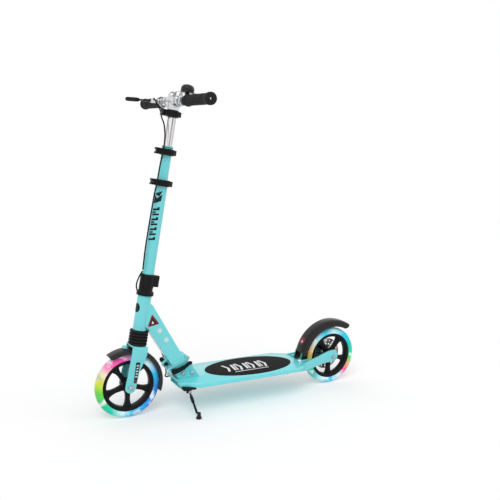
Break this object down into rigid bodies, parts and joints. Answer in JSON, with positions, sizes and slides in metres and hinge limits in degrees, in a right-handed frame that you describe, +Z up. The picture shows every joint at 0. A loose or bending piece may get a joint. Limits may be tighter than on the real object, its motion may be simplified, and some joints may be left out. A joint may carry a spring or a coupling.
{
  "type": "kick scooter",
  "caption": "Folding two-wheel kick scooter with sprung fork, telescoping column, folding handlebars, disc and foot brakes and a kickstand.",
  "frame": {"origin": "on the ground, half way between the axles, on the centre plane", "axes": "+Z up, -X towards the front wheel, -Y towards the rider's left (kickstand) side"},
  "size_m": [0.944, 0.497, 0.9913],
  "materials": {
    "turquoise_paint": "gloss turquoise powder coat on aluminium",
    "moulded_plastic": "black moulded plastic, slightly glossy",
    "black_metal": "black anodised or painted metal",
    "black_rubber": "matt black rubber",
    "cable_jacket": "black cable jacket",
    "bright_chrome": "bright silver",
    "zinc_steel": "zinc-plated steel",
    "grip_tape": "gritty black anti-slip tape",
    "clear_tyre": "translucent polyurethane with light bands"
  },
  "bodies": {
    "deck": {"deck": "turquoise_paint", "grip_tape": "grip_tape", "rear_fork": "turquoise_paint", "mudguard_pin": "zinc_steel", "brake_caliper": "black_metal", "hinge_bracket": "turquoise_paint", "bracket_bolt_front": "zinc_steel", "bracket_bolt_rear": "zinc_steel", "hinge_pin": "zinc_steel", "kickstand_bracket": "black_metal", "rear_axle": "zinc_steel", "cable_deck": "cable_jacket"},
    "caliper_arm": {"caliper_arm": "zinc_steel"},
    "kickstand": {"kickstand_leg": "black_metal", "kickstand_foot": "black_rubber"},
    "fold_lever": {"fold_lever": "black_metal"},
    "rear_mudguard": {"rear_mudguard": "moulded_plastic"},
    "rear_wheel": {"rear_tyre": "clear_tyre", "rear_rim": "moulded_plastic", "rear_bearing": "zinc_steel", "brake_disc": "zinc_steel"},
    "neck": {"neck": "turquoise_paint", "head_tube": "turquoise_paint", "headset_lower": "zinc_steel", "headset_upper": "zinc_steel", "latch_bolt": "black_metal", "cable_neck": "cable_jacket"},
    "column": {"column_tube": "turquoise_paint", "steerer": "zinc_steel", "lock_collar": "moulded_plastic", "mid_clamp": "black_metal", "mid_clamp_bolt": "zinc_steel", "cable_column": "cable_jacket"},
    "mid_clamp_lever": {"mid_clamp_lever": "black_metal"},
    "fork": {"fork": "turquoise_paint", "fork_spring": "zinc_steel", "bellows": "black_rubber", "front_mudguard": "moulded_plastic", "front_axle": "zinc_steel"},
    "front_wheel": {"front_tyre": "clear_tyre", "front_rim": "moulded_plastic", "front_bearing": "zinc_steel"},
    "upper_tube": {"upper_tube": "turquoise_paint", "top_clamp": "black_metal", "top_clamp_bolt": "zinc_steel"},
    "top_clamp_lever": {"top_clamp_lever": "black_metal"},
    "handlebar": {"inner_tube": "bright_chrome", "t_head": "bright_chrome", "stem_clamp": "black_metal", "stem_clamp_bolt": "zinc_steel", "cable_handlebar": "cable_jacket"},
    "stem_clamp_lever": {"stem_clamp_lever": "black_metal"},
    "left_bar": {"left_bar": "bright_chrome", "left_grip": "black_rubber", "bell": "black_metal"},
    "bell_striker": {"bell_striker": "black_metal"},
    "right_bar": {"right_bar": "bright_chrome", "right_grip": "black_rubber", "brake_perch": "bright_chrome"},
    "brake_lever": {"brake_lever": "black_metal"}
  },
  "joints": [
    {"name": "fold", "type": "hinge", "parent": "deck", "child": "neck", "pos_m": [-0.18672, 0, 0.16843], "axis": [0, 1, 0], "range_deg": [0, 80], "deforming": ["cable_neck", "cable_deck"]},
    {"name": "steer", "type": "hinge", "parent": "neck", "child": "column", "pos_m": [-0.32739, 0, 0.32154], "axis": [0.1478, 0, 0.989], "range_deg": [-60, 60], "deforming": ["cable_column", "cable_neck"]},
    {"name": "suspension", "type": "slide", "parent": "column", "child": "fork", "axis": [0.1478, 0, 0.989], "range_m": [0, 0.008], "stiffness_N_per_m": 6000, "springref_m": -0.004, "deforming": ["fork_spring", "bellows"]},
    {"name": "front_wheel_spin", "type": "hinge", "parent": "fork", "child": "front_wheel", "pos_m": [-0.372, 0, 0.1], "axis": [0, 1, 0], "continuous": true},
    {"name": "rear_wheel_spin", "type": "hinge", "parent": "deck", "child": "rear_wheel", "pos_m": [0.372, 0, 0.1], "axis": [0, 1, 0], "continuous": true},
    {"name": "upper_tube_slide", "type": "slide", "parent": "column", "child": "upper_tube", "axis": [0.1478, 0, 0.989], "range_m": [-0.06, 0], "deforming": ["cable_column", "cable_handlebar"]},
    {"name": "handlebar_slide", "type": "slide", "parent": "upper_tube", "child": "handlebar", "axis": [0.1478, 0, 0.989], "range_m": [-0.08, 0], "deforming": ["cable_column", "cable_handlebar"]},
    {"name": "mid_clamp_lever_turn", "type": "hinge", "parent": "column", "child": "mid_clamp_lever", "pos_m": [-0.29697, -0.0165, 0.71315], "axis": [0.1478, 0, 0.989], "range_deg": [-100, 0]},
    {"name": "top_clamp_lever_turn", "type": "hinge", "parent": "upper_tube", "child": "top_clamp_lever", "pos_m": [-0.28102, -0.0165, 0.80297], "axis": [0.1478, 0, 0.989], "range_deg": [-100, 0]},
    {"name": "stem_clamp_lever_turn", "type": "hinge", "parent": "handlebar", "child": "stem_clamp_lever", "pos_m": [-0.2618, -0.0165, 0.91334], "axis": [0.1478, 0, 0.989], "range_deg": [-100, 0]},
    {"name": "left_bar_fold", "type": "hinge", "parent": "handlebar", "child": "left_bar", "pos_m": [-0.23406, -0.058, 0.946], "axis": [0.989, 0, -0.1478], "range_deg": [0, 90], "deforming": ["cable_handlebar"]},
    {"name": "right_bar_fold", "type": "hinge", "parent": "handlebar", "child": "right_bar", "pos_m": [-0.23406, 0.058, 0.946], "axis": [-0.989, 0, 0.1478], "range_deg": [0, 90], "deforming": ["cable_handlebar"]},
    {"name": "bell_striker_flick", "type": "hinge", "parent": "left_bar", "child": "bell_striker", "pos_m": [-0.21429, -0.089, 0.96327], "axis": [0.1478, 0, 0.989], "range_deg": [0, 14], "stiffness_Nm_per_rad": 0.2, "springref_deg": -5.73},
    {"name": "brake_lever_pull", "type": "hinge", "parent": "right_bar", "child": "brake_lever", "pos_m": [-0.26275, 0.104, 0.95029], "axis": [-0.1478, 0, -0.989], "range_deg": [0, 18], "stiffness_Nm_per_rad": 1.5, "springref_deg": -5.73},
    {"name": "caliper_arm_pull", "type": "hinge", "parent": "deck", "child": "caliper_arm", "pos_m": [0.334, 0.0375, 0.14], "axis": [0, 1, 0], "range_deg": [0, 13.5]},
    {"name": "foot_brake", "type": "hinge", "parent": "deck", "child": "rear_mudguard", "pos_m": [0.253, 0, 0.0985], "axis": [0, 1, 0], "range_deg": [0, 2.3], "stiffness_Nm_per_rad": 120, "springref_deg": -1.72},
    {"name": "fold_lever_open", "type": "hinge", "parent": "deck", "child": "fold_lever", "pos_m": [-0.2345, 0, 0.133], "axis": [0, -1, 0], "range_deg": [0, 100]},
    {"name": "kickstand_fold", "type": "hinge", "parent": "deck", "child": "kickstand", "pos_m": [-0.197, -0.069, 0.0745], "axis": [0, -1, 0], "range_deg": [0, 74]}
  ],
  "couplings": [
    {"joint": "caliper_arm_pull", "follows": "brake_lever_pull", "ratio": 0.75}
  ]
}
